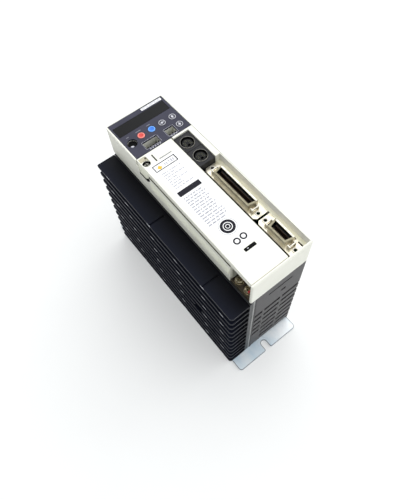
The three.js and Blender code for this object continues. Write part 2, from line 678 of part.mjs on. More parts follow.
// Insulator below the flange, reaching up into the socket, with one long contact slot.
function connectorInsert({ y0, y1, opening }) {
  const y = (y0 + y1) / 2;
  const half = opening / 2;
  const low = y - half - 2;
  const high = y + half + 2;
  const tongue = slab(socketOutline(opening, -GAP), 121, FLANGE_TOP + 0.5);
  const body = box(SOCKET_X - 3.6, SOCKET_X + 3.2, low, high, 113, FLANGE_BACK - GAP);
  const slot = box(SOCKET_X - 1.1, SOCKET_X + 1.1, low + 3.6, high - 3.6, 120, DEPTH);
  return cut(join(tongue.translate(SOCKET_X, y, 0), body), slot);
}

// ---- Boards and power parts inside the casing ----

const CONTROL_BOARD_X = 41.2;
const POWER_BOARD_X = 12.4;
const BETWEEN_X0 = POWER_BOARD_X + BOARD_THICK + GAP;
const BETWEEN_X1 = CONTROL_BOARD_X - GAP;

const INTERNAL_PIECES = [
  ['control_board', box(CONTROL_BOARD_X, CONTROL_BOARD_X + BOARD_THICK, 5, 145, 8, 117.5), BOARD_GREEN],
  ['power_board', box(POWER_BOARD_X, POWER_BOARD_X + BOARD_THICK, 5, 145, 8, 102), BOARD_GREEN],
  ['power_module', box(CASING_LEFT + 0.2, POWER_BOARD_X - GAP, 46, 104, 34, 64), BLACK_PLASTIC],
  ['bus_capacitor_1', rodAlongX(126, 30, BETWEEN_X0, 39.5, 11), CAN_BLUE],
  ['bus_capacitor_2', rodAlongX(102, 30, BETWEEN_X0, 39.5, 11), CAN_BLUE],
  ['transformer', box(BETWEEN_X0, 35, 18, 44, 58, 82), COPPER_BROWN],
  ['relay', box(BETWEEN_X0, 30, 60, 76, 66, 90), PALE_PLASTIC],
  ['board_link', box(BETWEEN_X0, BETWEEN_X1, 96, 124, 88, 94), PALE_PLASTIC],
  ['panel_link', box(33, BETWEEN_X1, 126, 142, 108, PANEL_BOARD_TOP - BOARD_THICK - GAP), PALE_PLASTIC],
  ['standoff_1', rodAlongX(10, 13, BETWEEN_X0, BETWEEN_X1, 2.6, 6), STEEL],
  ['standoff_2', rodAlongX(140, 13, BETWEEN_X0, BETWEEN_X1, 2.6, 6), STEEL],
  ['standoff_3', rodAlongX(10, 96, BETWEEN_X0, BETWEEN_X1, 2.6, 6), STEEL],
  ['standoff_4', rodAlongX(140, 96, BETWEEN_X0, BETWEEN_X1, 2.6, 6), STEEL],
];

// ---- The assembly ----

addPiece('mounting_plate', mountingPlate(), ZINC);
addPiece('heat_sink', heatSink(), BLACK_SINK);
addPiece('heat_spreader', heatSpreader(), ALUMINIUM);
addPiece('chassis_bracket', chassisBracket(), ZINC);
SINK_WELLS.forEach((well, index) => {
  addPiece(`heatsink_screw_${index + 1}`, heatsinkScrew(well), STEEL);
});
addPiece('rear_casing', rearCasing(), CASING_GREY);
addPiece('front_housing', frontHousing(), BEIGE);
addPiece('display_panel', displayPanel(), SLATE);
addPiece('display_window', displayWindow(), SMOKE);
addPiece('led_display', ledDisplay(), BLACK_PLASTIC);
addPiece('panel_board', panelBoard(), BOARD_GREEN);
BUTTONS.forEach((button, index) => {
  addPiece(button.name, buttonCap(button), finish(button.colour, 0.4));
  addPiece(`tact_switch_${index + 1}`, tactSwitch(button), BLACK_PLASTIC);
});
addPiece('id_switch_body', idSwitchBody(), BLACK_PLASTIC);
addPiece('id_switch_rotor', idSwitchRotor(), PALE_PLASTIC);
PIN_WELLS.forEach((well) => addPiece(well.name, pinHeader(well), STEEL));
addPiece('terminal_cover', terminalCover(), BEIGE);
addPiece('cover_screw', coverScrew(), STEEL);
addPiece('hinge_pin_upper', hingePin(COVER.y1 - 4.6, DISPLAY_WALL + 1.6), STEEL);
addPiece('hinge_pin_lower', hingePin(0.8, COVER.y0 + 4.6), STEEL);
addPiece('mains_terminal_block', terminalBlock(66, 103, 5), BLACK_PLASTIC);
addPiece('motor_terminal_block', terminalBlock(25, 64, 6), BLACK_PLASTIC);
addPiece('earth_bar', earthBar(), ZINC);
EARTH_SCREWS.forEach((y, index) => addPiece(`earth_screw_${index + 1}`, earthScrew(y), NICKEL));
addPiece('charge_lamp', chargeLamp(), SMOKE);
addPiece('serial_port_block', serialPortBlock(), BLACK_PLASTIC);
DIN_CENTRES.forEach((y, index) => {
  addPiece(`din_shield_${index + 1}`, dinShield(y), STEEL);
  addPiece(`din_core_${index + 1}`, dinCore(y), BLACK_PLASTIC);
});
SOCKETS.forEach((socket) => {
  addPiece(`${socket.name}_shell`, connectorShell(socket), NICKEL);
  addPiece(`${socket.name}_insert`, connectorInsert(socket), BLACK_PLASTIC);
});
INTERNAL_PIECES.forEach(([name, geometry, material]) => addPiece(name, geometry, material));

export default drive;
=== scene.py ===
"""Servo drive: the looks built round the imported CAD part, seen from the photograph's angle."""

import json
import math
import random

import bmesh
import bpy
from mathutils import Matrix, Vector


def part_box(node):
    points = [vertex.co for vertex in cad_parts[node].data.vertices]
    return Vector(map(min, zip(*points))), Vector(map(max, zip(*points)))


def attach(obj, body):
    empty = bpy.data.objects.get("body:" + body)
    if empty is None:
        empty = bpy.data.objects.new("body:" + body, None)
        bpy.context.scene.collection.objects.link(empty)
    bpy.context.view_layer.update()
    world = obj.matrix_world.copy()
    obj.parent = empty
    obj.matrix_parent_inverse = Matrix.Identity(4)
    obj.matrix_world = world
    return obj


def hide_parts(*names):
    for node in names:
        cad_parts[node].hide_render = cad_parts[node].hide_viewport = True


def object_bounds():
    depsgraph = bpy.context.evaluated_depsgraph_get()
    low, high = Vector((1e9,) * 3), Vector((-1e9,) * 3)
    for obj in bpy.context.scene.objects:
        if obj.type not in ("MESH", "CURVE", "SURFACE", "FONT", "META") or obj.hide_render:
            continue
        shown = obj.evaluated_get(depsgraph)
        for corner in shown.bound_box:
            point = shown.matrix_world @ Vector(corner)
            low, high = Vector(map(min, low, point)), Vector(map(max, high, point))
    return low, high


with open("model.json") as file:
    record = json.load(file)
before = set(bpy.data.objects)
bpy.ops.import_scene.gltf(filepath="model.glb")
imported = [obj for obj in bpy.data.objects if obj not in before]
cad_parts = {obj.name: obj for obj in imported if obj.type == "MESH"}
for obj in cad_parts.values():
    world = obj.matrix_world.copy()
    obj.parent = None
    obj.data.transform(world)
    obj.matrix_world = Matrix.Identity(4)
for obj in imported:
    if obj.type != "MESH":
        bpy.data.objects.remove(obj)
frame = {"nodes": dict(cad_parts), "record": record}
cad_low, cad_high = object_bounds()
nodes = frame["nodes"]

# Drive coordinates are millimetres: x from the front housing's left edge, y from its terminal
# end and z from the back of the plate. ORIGIN is where they start in the row frame.
MM = 0.001
ORIGIN = Vector((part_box("front_housing")[0].x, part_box("front_housing")[0].y, cad_low.z))
HOUSING = "chassis"
COVER = "terminal_cover"


def place(x, y, z):
    return ORIGIN + Vector((x, y, z)) * MM


def extent(node):
    """A CAD node's lowest and highest corner, in drive millimetres."""
    low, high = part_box(node)
    return (low - ORIGIN) / MM, (high - ORIGIN) / MM


FRONT = extent("front_housing")[1].z
BODY_LENGTH = extent("front_housing")[1].y


# ---- Materials ----


def linear(red, green, blue):
    """An sRGB colour, 0 to 255, as linear RGBA."""
    shares = [c / 255 for c in (red, green, blue)]
    return [((s + 0.055) / 1.055) ** 2.4 if s > 0.04 else s / 12.92 for s in shares] + [1.0]


class Finish:
    """One node material: a blotchy base colour, a fine bump and a roughness that varies.

    patch, grain and wear_width are sizes in millimetres. wear is a
    tone for the sharp edges: scuffed metal with a painted highlight on the sink, painted shade on
    the plate, a painted highlight on the casing. fade is (near x, far x, tone): the colour
    turns to the tone between those places, a painted sheen.
    """

    def __init__(self, name, dark, light, rough, metal=0.0, specular=0.5, patch=12.0, grain=0.35,
                 bump=0.25, stretch=(1, 1, 1), rough_vary=0.12, wear=None, wear_width=0.25,
                 fade=None):
        self.material = bpy.data.materials.new(name)
        self.material.use_nodes = True
        self.tree = self.material.node_tree
        self.shader = self.tree.nodes["Principled BSDF"]
        self.shader.inputs["Metallic"].default_value = metal
        self.shader.inputs["Specular IOR Level"].default_value = specular
        coords = self.add("ShaderNodeTexCoord")
        mapping = self.add("ShaderNodeMapping")
        mapping.inputs["Scale"].default_value = stretch
        self.link(coords.outputs["Object"], mapping.inputs["Vector"])
        self.vector = mapping.outputs["Vector"]
        blotch = self.noise(patch, 4.0)
        colour = self.mix(self.ramp(blotch, 0.35, 0.65), linear(*dark), linear(*light))
        # A painted sheen: the colour turns to the tone across x.
        if fade:
            near, far, tone = fade
            across = self.add("ShaderNodeSeparateXYZ")
            self.link(coords.outputs["Object"], across.inputs[0])
            share = self.ramp(across.outputs[0], near * MM, far * MM)
            colour = self.mix(share, colour, linear(*tone))
        # A tone on the sharp edges: scuffing and painted light, as each finish sets it.
        if wear:
            colour = self.mix(self.edges(wear_width), colour, linear(*wear))
        self.link(colour, self.shader.inputs["Base Color"])
        fine = self.noise(grain, 2.0)
        level = self.add("ShaderNodeMapRange")
        level.inputs["To Min"].default_value = rough - rough_vary / 2
        level.inputs["To Max"].default_value = rough + rough_vary / 2
        self.link(self.combine("ADD", self.combine("MULTIPLY", blotch, 0.6),
                               self.combine("MULTIPLY", fine, 0.4)), level.inputs["Value"])
        self.link(level.outputs["Result"], self.shader.inputs["Roughness"])
        relief = self.add("ShaderNodeBump")
        relief.inputs["Strength"].default_value = bump
        relief.inputs["Distance"].default_value = 0.02 * MM
        self.link(fine, relief.inputs["Height"])
        self.link(relief.outputs["Normal"], self.shader.inputs["Normal"])

    def add(self, kind):
        return self.tree.nodes.new(kind)

    def link(self, source, target):
        if isinstance(source, bpy.types.NodeSocket):
            self.tree.links.new(source, target)
        else:
            target.default_value = source

    def combine(self, operation, first, second):
        node = self.add("ShaderNodeMath")
        node.operation = operation
        self.link(first, node.inputs[0])
        self.link(second, node.inputs[1])
        return node.outputs[0]

    def noise(self, size, detail):
        node = self.add("ShaderNodeTexNoise")
        node.inputs["Scale"].default_value = 1 / (size * MM)
        node.inputs["Detail"].default_value = detail
        self.link(self.vector, node.inputs["Vector"])
        return node.outputs["Fac"]

    def ramp(self, value, low, high):
        node = self.add("ShaderNodeMapRange")
        node.inputs["From Min"].default_value = low
        node.inputs["From Max"].default_value = high
        self.link(value, node.inputs["Value"])
        return node.outputs["Result"]

    def mix(self, factor, first, second):
        node = self.add("ShaderNodeMix")
        node.data_type = "RGBA"
        for value, socket in ((factor, 0), (first, 6), (second, 7)):
            self.link(value, node.inputs[socket])
        return node.outputs[2]

    def edges(self, width):
        """1 on the piece's sharp outer edges, broken up by noise, and 0 on its faces."""
        rounded = self.add("ShaderNodeBevel")
        rounded.samples = 4
        rounded.inputs["Radius"].default_value = width * MM
        flat = self.add("ShaderNodeNewGeometry")
        dot = self.add("ShaderNodeVectorMath")
        dot.operation = "DOT_PRODUCT"
        self.link(rounded.outputs["Normal"], dot.inputs[0])
        self.link(flat.outputs["True Normal"], dot.inputs[1])
        amount = self.ramp(dot.outputs["Value"], 0.97, 0.75)
        return self.combine("MULTIPLY", amount, self.ramp(self.noise(1.5, 3.0), 0.42, 0.6))


def finish(name, *arguments, **options):
    return Finish(name, *arguments, **options).material


def ink(name, dark, light, rough=0.5, specular=0.2, patch=2):
    """A printed finish, nearly flat."""
    return finish(name, dark, light, rough, specular=specular, patch=patch, bump=0.05)


BEIGE = finish("housing_beige", (235, 235, 223), (241, 241, 230), 0.5, specular=0.3, patch=30)
# The sink's edges: scuffed aluminium and a painted highlight. Its fins' outer part turns navy: a
# painted sheen.
SINK = finish("sink_black", (8, 9, 14), (12, 13, 20), 0.5, specular=0.1, patch=25,
              stretch=(1, 0.25, 1), wear=(50, 52, 60), wear_width=0.15,
              fade=(-20, -31, (18, 22, 36)))
# The plate's sharp edges darken: painted shade.
ZINC = finish("zinc_plate", (208, 226, 238), (248, 252, 254), 0.36, metal=0.1, patch=16, bump=0.4,
              stretch=(1, 0.5, 1), wear=(118, 124, 130), wear_width=0.3)
BRACKET = finish("bracket_zinc", (112, 114, 113), (150, 151, 149), 0.42, metal=0.4, patch=3)
# A dark brown for the earth bar, darkened as painted shade for the inside of the earth opening.
EARTH_BAR_SHADE = finish("earth_bar_painted_shade", (62, 54, 42), (92, 82, 66), 0.45, metal=0.3, patch=2)
ALUMINIUM = finish("bare_aluminium", (64, 65, 66), (84, 85, 86), 0.5, metal=0.5,
                   stretch=(1, 1, 0.1))
# The casing's sharp edges lighten: a painted highlight on the louvre lips.
CASING = finish("casing_grey", (62, 61, 62), (78, 76, 77), 0.5, metal=0.15, specular=0.3,
                patch=1.2, wear=(140, 140, 142))
SLATE = finish("panel_slate", (56, 56, 70), (62, 62, 77), 0.55, specular=0.2)
SMOKE = finish("window_smoke", (12, 13, 14), (16, 17, 18), 0.35, specular=0.14, bump=0.02)
PLASTIC = finish("black_plastic", (20, 20, 23), (30, 30, 34), 0.5, specular=0.3)
NICKEL = finish("nickel_shell", (210, 202, 178), (232, 226, 208), 0.3, metal=0.8, patch=4)
STEEL = finish("steel_fastener", (160, 158, 150), (188, 186, 178), 0.3, metal=0.95, patch=3)
RED = finish("cap_red", (205, 52, 44), (216, 64, 54), 0.42)
BLUE = finish("cap_blue", (24, 108, 214), (36, 122, 226), 0.42)
GREY_CAP = finish("cap_grey", (48, 48, 60), (56, 56, 68), 0.45, specular=0.3)
PALE = finish("pale_plastic", (206, 204, 194), (222, 220, 210), 0.45)
BOARD = finish("board_green", (22, 66, 42), (30, 84, 54), 0.4)
CAN = finish("can_sleeve", (30, 36, 62), (40, 48, 80), 0.35)
WINDING = finish("winding_brown", (110, 66, 36), (140, 90, 54), 0.45, stretch=(1, 8, 1))
# Lighter red and blue for the caps' shoulders: a painted highlight.
RED_HIGHLIGHT = finish("red_rim_painted_highlight", (242, 132, 120), (248, 146, 134), 0.4)
BLUE_HIGHLIGHT = finish("blue_rim_painted_highlight", (92, 160, 240), (108, 172, 246), 0.4)
WHITE_PRINT = ink("white_print", (206, 206, 214), (218, 218, 224), rough=0.55, patch=12)
LABEL = finish("label_white", (244, 244, 243), (250, 250, 249), 0.42, specular=0.3, patch=40,
               bump=0.03)
DARK_PRINT = ink("dark_print", (20, 20, 30), (27, 26, 37), specular=0.15, patch=12)
GREY_PRINT = ink("grey_print", (122, 124, 134), (140, 142, 150))
MID_PRINT = ink("mid_print", (158, 159, 168), (186, 187, 195))
FAINT_PRINT = ink("faint_print", (176, 177, 186), (196, 197, 204))
YELLOW_PRINT = ink("yellow_print", (222, 184, 52), (234, 200, 80), specular=0.25, patch=12)
BRIGHT = finish("bright_edge", (188, 184, 172), (220, 217, 206), 0.3, metal=0.6, patch=2)
DULL_RIM = finish("dull_rim", (128, 126, 120), (164, 162, 155), 0.35, metal=0.6, patch=2)
# A lighter copy of the housing beige, painted light on the side wall's rail and the finger tab's
# face.
LIT_BEIGE = finish("beige_painted_light", (240, 241, 222), (246, 247, 230), 0.5, specular=0.3, patch=20)
BRASS = finish("brass_screw", (150, 136, 104), (222, 212, 184), 0.26, metal=0.9, patch=1.4)
PAINT_MARK = finish("paint_mark", (170, 22, 26), (196, 34, 36), 0.35, patch=1, bump=0.6)
# Black: painted shade in slots, wells, gaps, sockets and vents, and a few black parts.
BLACK_AND_SHADE = finish("black_and_painted_shade", (8, 8, 9), (13, 13, 14), 0.7, specular=0.1)
# Painted shade in the depth of the cover's moulded lines.
SLIT_SHADE = finish("slit_painted_shade", (40, 40, 38), (50, 50, 48), 0.6, specular=0.15)
DARK_STEEL = finish("dark_screw", (96, 96, 90), (178, 177, 166), 0.4, metal=0.35, patch=1.2)
PIN_ROW = finish("pin_row", (74, 56, 42), (96, 76, 58), 0.4, metal=0.4, patch=0.8)
# The board connectors' rim: khaki plating, darkened as painted shade.
SHADED_RIM = finish("khaki_rim_painted_shade", (126, 120, 96), (152, 145, 118), 0.4, metal=0.2, patch=2)
# A khaki beige, painted shade on the pocket beside the cover screw and in the cover's end seam.
SHADED_BEIGE = finish("beige_painted_shade", (186, 180, 156), (204, 198, 174), 0.5, specular=0.3, patch=3)
# A cream lighter than the housing, painted light on the ledge floor beside the board connectors.
LEDGE_LIGHT = finish("ledge_painted_light", (242, 239, 214), (248, 245, 222), 0.5, specular=0.3, patch=20)
GAP_SHADE = finish("gap_shade", (84, 84, 72), (98, 98, 84), 0.6, specular=0.15)
PLATE_EDGE = finish("plate_edge", (104, 110, 116), (140, 146, 152), 0.4, metal=0.3, patch=2)
RACK = finish("rack_spot", (150, 152, 158), (206, 208, 214), 0.4, metal=0.4, patch=1.2)

CAD_FINISHES = {
    "zinc_plate": ZINC, "sink_black": SINK, "bare_aluminium": ALUMINIUM, "steel_fastener": STEEL,
    "nickel_shell": NICKEL, "casing_grey": CASING, "housing_beige": BEIGE, "panel_slate": SLATE,
    "window_smoke": SMOKE, "black_plastic": PLASTIC, "cap_red": RED, "cap_blue": BLUE,
    "cap_grey": GREY_CAP, "pale_plastic": PALE, "board_green": BOARD, "can_sleeve": CAN,
    "winding_brown": WINDING,
}


# ---- Mesh helpers ----


def round_edges(piece, width, segments=2):
    """Rounds a piece's sharp edges with modifiers and leaves its own mesh alone."""
    merge = piece.modifiers.new("merge_coplanar", "DECIMATE")
    merge.decimate_type = "DISSOLVE"
    merge.angle_limit = math.radians(1)
    bevel = piece.modifiers.new("edge_round", "BEVEL")
    bevel.width = width * MM
    bevel.segments = segments
    bevel.limit_method = "ANGLE"
    bevel.angle_limit = math.radians(35)
    bevel.use_clamp_overlap = False
    piece.modifiers.new("weighted_normals", "WEIGHTED_NORMAL")


def rectangle(x0, x1, y0, y1, corner=0.0, steps=4):
    """A rectangle's outline, anticlockwise, with rounded corners if corner isn't 0."""
    if not corner:
        return [(x0, y0), (x1, y0), (x1, y1), (x0, y1)]
    centres = [(x1 - corner, y0 + corner, -90), (x1 - corner, y1 - corner, 0),
               (x0 + corner, y1 - corner, 90), (x0 + corner, y0 + corner, 180)]
    points = []
    for x, y, start in centres:
        for step in range(steps + 1):
            angle = math.radians(start + 90 * step / steps)
            points.append((x + corner * math.cos(angle), y + corner * math.sin(angle)))
    return points


def circle(x, y, radius, sides=56):
    """A circle's outline, anticlockwise."""
    turns = [math.tau * i / sides for i in range(sides)]
    return [(x + radius * math.cos(a), y + radius * math.sin(a)) for a in turns]


class Shape:
    """Closed solids in drive millimetres, gathered into one mesh. A tint is a material's index."""

    def __init__(self):
        self.bm = bmesh.new()

    def loft(self, rings, tint=0, smooth=False):
        """Skins a stack of equal-length outlines of 3-D points, with a flat face at each end."""
        rows = [[self.bm.verts.new(place(*p)) for p in ring] for ring in rings]
        faces = [self.bm.faces.new(rows[0][::-1]), self.bm.faces.new(rows[-1])]
        for low, high in zip(rows, rows[1:]):
            for i in range(len(low)):
                j = (i + 1) % len(low)
                side = self.bm.faces.new((low[i], low[j], high[j], high[i]))
                side.smooth = smooth
                faces.append(side)
        for face in faces:
            face.material_index = tint
        return self

    def prism(self, outline, z0, z1, tint=0, smooth=False):
        return self.loft([[(x, y, z) for x, y in outline] for z in (z0, z1)], tint, smooth)

    def block(self, x0, x1, y0, y1, z0, z1, tint=0, corner=0.0):
        return self.prism(rectangle(x0, x1, y0, y1, corner), z0, z1, tint)

    def lathe(self, x, y, profile, tints=0, sides=40, closed=False):
        """Turns a profile of (radius, z) points round a Z axis. The profile runs from the bottom
        up the outside; a closed one joins its last point to its first and makes a ring."""
        rows = []
        for radius, z in profile:
            if radius == 0:
                rows.append([self.bm.verts.new(place(x, y, z))])
                continue
            outline = circle(x, y, radius, sides)
            rows.append([self.bm.verts.new(place(px, py, z)) for px, py in outline])
        pairs = list(zip(rows, rows[1:])) + ([(rows[-1], rows[0])] if closed else [])
        for number, (low, high) in enumerate(pairs):
            for i in range(sides):
                j = (i + 1) % sides
                corners = [low[i % len(low)], low[j % len(low)],
                           high[j % len(high)], high[i % len(high)]]
                face = self.bm.faces.new(list(dict.fromkeys(corners)))
                face.smooth = True
                face.material_index = tints if isinstance(tints, int) else tints[number]
        return self

    def ring(self, outer, inner, z0, z1, tint=0, smooth=False):
        """A wall between two outlines of the same length."""
        rows = [[self.bm.verts.new(place(px, py, z)) for px, py in line]
                for line, z in ((outer, z0), (outer, z1), (inner, z1), (inner, z0))]
        for low, high in zip(rows, rows[1:] + rows[:1]):
            for i in range(len(low)):
                j = (i + 1) % len(low)
                face = self.bm.faces.new((low[i], low[j], high[j], high[i]))
                face.material_index = tint
                face.smooth = smooth
        return self

    def make(self, name, body, materials, replaces=(), slot=None, edge=0.0, segments=2):
        """Turns the solids into one piece that rides on a body."""
        bmesh.ops.recalc_face_normals(self.bm, faces=self.bm.faces)
        mesh = bpy.data.meshes.new(name)
        self.bm.to_mesh(mesh)
        self.bm.free()
        for material in materials:
            mesh.materials.append(material)
        mesh.set_sharp_from_angle(angle=math.radians(32))
        piece = bpy.data.objects.new(name, mesh)
        bpy.context.scene.collection.objects.link(piece)
        if edge:
            round_edges(piece, edge, segments)
        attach(piece, body)
        if replaces:
            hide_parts(*replaces)
        return piece


def carve(piece, cutter):
    """Cuts the cutter's solids out of a piece, before its edges are rounded."""
    tool = bpy.data.objects.new("cutter", bpy.data.meshes.new("cutter"))
    bmesh.ops.recalc_face_normals(cutter.bm, faces=cutter.bm.faces)
    cutter.bm.to_mesh(tool.data)
    cutter.bm.free()
    bpy.context.scene.collection.objects.link(tool)
    cut = piece.modifiers.new("cut", "BOOLEAN")
    cut.object = tool
    cut.solver = "EXACT"
    cut.use_self = True
    names = [m.name for m in piece.modifiers if m.name != "cut"]
    shown = [(m, m.show_viewport) for m in piece.modifiers if m.name in names]
    for modifier, _ in shown:
        modifier.show_viewport = False
    graph = bpy.context.evaluated_depsgraph_get()
    result = bpy.data.meshes.new_from_object(piece.evaluated_get(graph), depsgraph=graph)
    piece.modifiers.remove(cut)
    for modifier, state in shown:
        modifier.show_viewport = state
    piece.data = result
    result.set_sharp_from_angle(angle=math.radians(32))
    bpy.data.objects.remove(tool)
    return piece


# ---- CAD nodes ----

for part in frame["record"]["subparts"]:
    nodes[part["node"]].data.materials.clear()
    nodes[part["node"]].data.materials.append(CAD_FINISHES[part["material_slot"]])
for node, width in (("front_housing", 0.25), ("terminal_cover", 0.25), ("heat_sink", 0.2),
                    ("mounting_plate", 0.2), ("rear_casing", 0.3), ("display_panel", 0.12),
                    ("display_window", 0.1), ("serial_port_block", 0.2), ("chassis_bracket", 0.2),
                    ("io_connector_shell", 0.12), ("encoder_connector_shell", 0.12)):
    round_edges(nodes[node], width)
# The charge lamp is black, painted shade for its slot, and the earth bar takes its painted shade.
for node, material in (("charge_lamp", BLACK_AND_SHADE), ("chassis_bracket", BRACKET), ("earth_bar", EARTH_BAR_SHADE)):
    nodes[node].data.materials[0] = material

# Print stands this far proud of the surface that it is on.
PROUD = 0.03


# ---- Controls on the display panel ----

LEFT_ARROW = [(-1.15, 0), (0.15, -1.0), (0.15, -0.35), (1.05, -0.35), (1.05, 0.35), (0.15, 0.35),
              (0.15, 1.0)]
UP_ARROW = [(-y, -x) for x, y in LEFT_ARROW]
DOWN_ARROW = [(y, x) for x, y in LEFT_ARROW]


def middle(node):
    low, high = extent(node)
    return (low.x + high.x) / 2, (low.y + high.y) / 2


def button_cap(node, face, rim, glyph=None):
    """A turned cap with a collar, a rounded shoulder and a shallow dish, or a printed arrow."""
    x, y = middle(node)
    low, high = extent(node)
    collar, top, dish = low.z + 0.8, high.z, 0.0 if glyph else 0.25
    shoulder = [(2.55, 0.25), (2.53, 0.12), (2.48, 0.03), (2.42, 0)] if glyph else [
        (2.55, 0.55), (2.47, 0.22), (2.25, 0.03), (2.1, 0)]
    profile = [(0, low.z), (3.2, low.z), (3.3, low.z + 0.15), (3.3, collar), (2.55, collar)]
    profile += [(radius, top - drop) for radius, drop in shoulder]
    profile += [(1.85, top), (1.7, top - 0.3 * dish), (1.4, top - 0.7 * dish),
                (0.8, top - dish), (0, top - dish)]
    # A plain cap takes the rim tone on its shoulder as a painted highlight; an arrow cap takes it
    # as print.
    tints = [0] * 5 + [0 if glyph else 1] * 5 + [0] * 3
    cap = Shape().lathe(x, y, profile, tints, sides=48)
    if glyph:
        cap.ring(circle(x, y, 2.4, 40), circle(x, y, 2.05, 40), top - 0.05, top + PROUD, 1,
                 smooth=True)
        cap.prism([(x + px * 1.15, y + py * 1.15) for px, py in glyph], top - 0.05, top + PROUD, 1)
    cap.make(node.replace("button", "cap"), node, [face, rim], [node],
             "cap_grey" if glyph else None)


button_cap("mode_button", RED, RED_HIGHLIGHT)
button_cap("set_button", BLUE, BLUE_HIGHLIGHT)
button_cap("shift_button", GREY_CAP, WHITE_PRINT, LEFT_ARROW)
button_cap("up_button", GREY_CAP, WHITE_PRINT, UP_ARROW)
button_cap("down_button", GREY_CAP, WHITE_PRINT, DOWN_ARROW)


def id_rotor():
    """The address dial: a black disc with a slot and a pale pointer at its lower edge."""
    x, y = middle("id_switch_rotor")
    low, high = extent("id_switch_rotor")
    top = FRONT - 0.9
    profile = [(0, low.z), (2.8, low.z), (2.9, low.z + 0.1), (2.9, top - 0.2), (2.75, top),
               (1.9, top), (1.75, top - 0.35), (0, top - 0.35)]
    dial = Shape().lathe(x, y, profile, 0, sides=48)
    dial.block(x - 0.3, x + 0.3, y - 0.3, y + 1.5, top - 0.4, top - 0.1, 0)
    dial.prism([(x - 2.35, y - 1.2), (x - 1.9, y - 2.0), (x - 1.0, y - 2.55), (x - 0.1, y - 2.6),
                (x - 0.35, y - 1.5), (x - 1.3, y - 1.0)], top - 0.5, top + 0.04, 1)
    dial.make("id_dial", "id_switch_rotor", [BLACK_AND_SHADE, WHITE_PRINT], ["id_switch_rotor"],
              "black_plastic")


id_rotor()


def pin_row(node, name, pins, edge):
    """A moulded carrier with a row of pointed test pins, and a dark comb along the well's edge."""
    low, high = extent(node)
    row = Shape().block(low.x, high.x, low.y, high.y, low.z, 122.4, 0, corner=0.3)
    first, last, y = low.x + 0.9, high.x - 0.9, low.y + 1.0
    for pin in range(pins):
        x = first + (last - first) * pin / (pins - 1)
        row.block(x - 0.75, x + 0.75, y - 0.9, y + 1.1, 122.3, 123.0, 0, corner=0.2)
        rings = [[(x + sx * r, y + sy * r, z) for sx, sy in ((-1, -1), (1, -1), (1, 1), (-1, 1))]
                 for r, z in ((0.34, 122.9), (0.34, high.z - 0.5), (0.14, high.z))]
        row.loft(rings, 1)
    for tooth in range(2 * pins - 1):
        x = first + (last - first) * tooth / (2 * pins - 2)
        row.block(x - 0.55, x + 0.55, edge + 0.02, edge + 1.3, 122.3, FRONT - 0.5, 2, corner=0.2)
    row.make(name, HOUSING, [PLASTIC, STEEL, BLACK_AND_SHADE], [node], "black_plastic")


pin_row("monitor_pin_header", "monitor_pins", 3, 116.9)
pin_row("ground_pin_header", "ground_pins", 2, 116.6)


def panel_print():
    """Plain ticks and bars beside the controls and a blank paper label. No lettering."""
    z0, z1 = FRONT - 0.05, FRONT + PROUD
    marks = Shape().block(27.2, 43.8, 146.3, 148.5, z0, FRONT + 0.05, 0, corner=0.3)
    for row, (y, spans) in enumerate(((147.9, ((28, 33), (34, 39.5), (40.4, 43))),
                                      (147.0, ((28, 30.5), (31.3, 37), (37.8, 42.4))))):
        for a, b in spans:
            marks.block(a, b, y - 0.22, y + 0.22, z0, FRONT + 0.07, 3)
    for a, b, y in ((12.9, 16.9, 133.2), (21.7, 24.6, 133.2), (5.4, 7.4, 133.1)):
        marks.block(a, b, y - 0.25, y + 0.25, z0, z1, 2, corner=0.2)
    outer, inner = 0.24, 0.12
    for x0, x1, y0, y1 in ((10.9, 22.4, 116.7, 123.1), (28.3, 35.8, 116.4, 123.0)):
        marks.ring(rectangle(x0 - outer, x1 + outer, y0 - outer, y1 + outer, 0.4),
                   rectangle(x0 - inner, x1 + inner, y0 - inner, y1 + inner, 0.1), z0, z1, 1)
    for x in (13.1, 15.0, 16.9, 18.8, 20.6, 30.2, 32.0, 33.9):
        marks.block(x - 0.45, x + 0.45, 115.35, 115.85, z0, z1, 1)
    marks.make("panel_print", HOUSING, [LABEL, WHITE_PRINT, GREY_PRINT, FAINT_PRINT])


panel_print()


# ---- Terminal cover ----


def words(rng, x0, x1):
    """Word-like spans along a line, for print that says nothing."""
    spans, x = [], x0
    while x < x1 - 0.8:
        end = min(x + rng.uniform(0.9, 3.4), x1)
        spans.append((x, end))
        x = end + rng.uniform(0.45, 0.8)
    return spans


